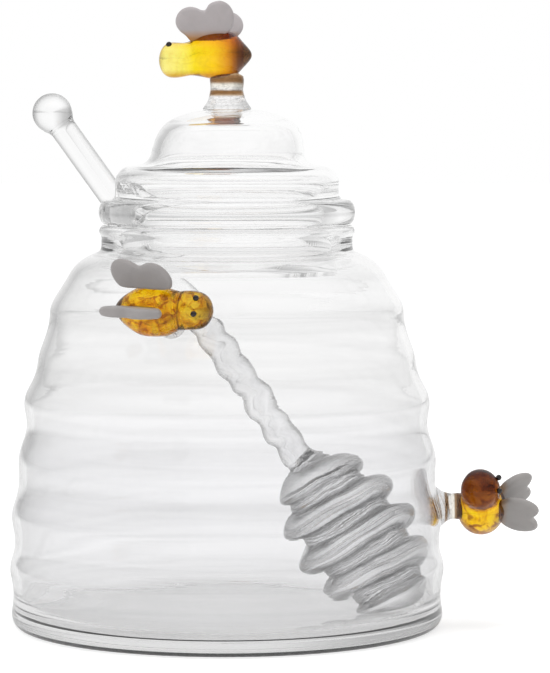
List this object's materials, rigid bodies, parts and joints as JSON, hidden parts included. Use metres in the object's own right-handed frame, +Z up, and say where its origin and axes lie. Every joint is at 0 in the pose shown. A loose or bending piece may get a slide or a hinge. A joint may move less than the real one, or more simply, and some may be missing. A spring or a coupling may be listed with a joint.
{
  "type": "honey pot",
  "caption": "Ribbed beehive honey pot of clear glass with a loose stepped lid, a leaning glass dipper through the lid's notch, and small glass bees fused on short posts.",
  "frame": {"origin": "centre of the jar's flat underside", "axes": "+Z up along the jar's axis, -Y towards the viewer of the picture, +X to the right, where the side bee stands out of the wall"},
  "size_m": [0.1299, 0.1159, 0.1525],
  "materials": {
    "clear_glass": "clear, fire polished, with faint waves along the rings",
    "amber_glass": "amber, glossy, darker towards the tail",
    "lemon_glass": "lemon yellow, glossy",
    "brown_glass": "dark reddish brown, glossy",
    "milky_glass": "milky grey, smooth",
    "black_glass": "black beads, glossy"
  },
  "bodies": {
    "jar": {"jar_body": "clear_glass", "front_bee_body": "amber_glass", "front_bee_tail_tip": "brown_glass", "front_bee_head": "lemon_glass", "front_bee_eye_left": "black_glass", "front_bee_eye_right": "black_glass", "front_bee_wing_left": "milky_glass", "front_bee_wing_right": "milky_glass", "front_bee_post": "clear_glass", "side_bee_body": "amber_glass", "side_bee_tail_tip": "brown_glass", "side_bee_head": "brown_glass", "side_bee_eye_left": "black_glass", "side_bee_eye_right": "black_glass", "side_bee_wing_left": "milky_glass", "side_bee_wing_right": "milky_glass", "side_bee_post": "clear_glass"},
    "lid": {"lid_shell": "clear_glass", "lid_bee_body": "amber_glass", "lid_bee_tail_tip": "brown_glass", "lid_bee_head": "lemon_glass", "lid_bee_eye_left": "black_glass", "lid_bee_eye_right": "black_glass", "lid_bee_wing_left": "milky_glass", "lid_bee_wing_right": "milky_glass", "lid_bee_post": "clear_glass"},
    "dipper": {"dipper_knob": "clear_glass", "dipper_rod": "clear_glass", "dipper_twist": "clear_glass", "dipper_head": "clear_glass"}
  },
  "joints": [
    {"name": "lid_lift", "type": "slide", "parent": "jar", "child": "lid", "axis": [0, 0, 1], "range_m": [0, 0.07]},
    {"name": "dipper_slide", "type": "slide", "parent": "jar", "child": "dipper", "axis": [-0.5787, 0.1551, 0.8007], "range_m": [0, 0.045]}
  ]
}
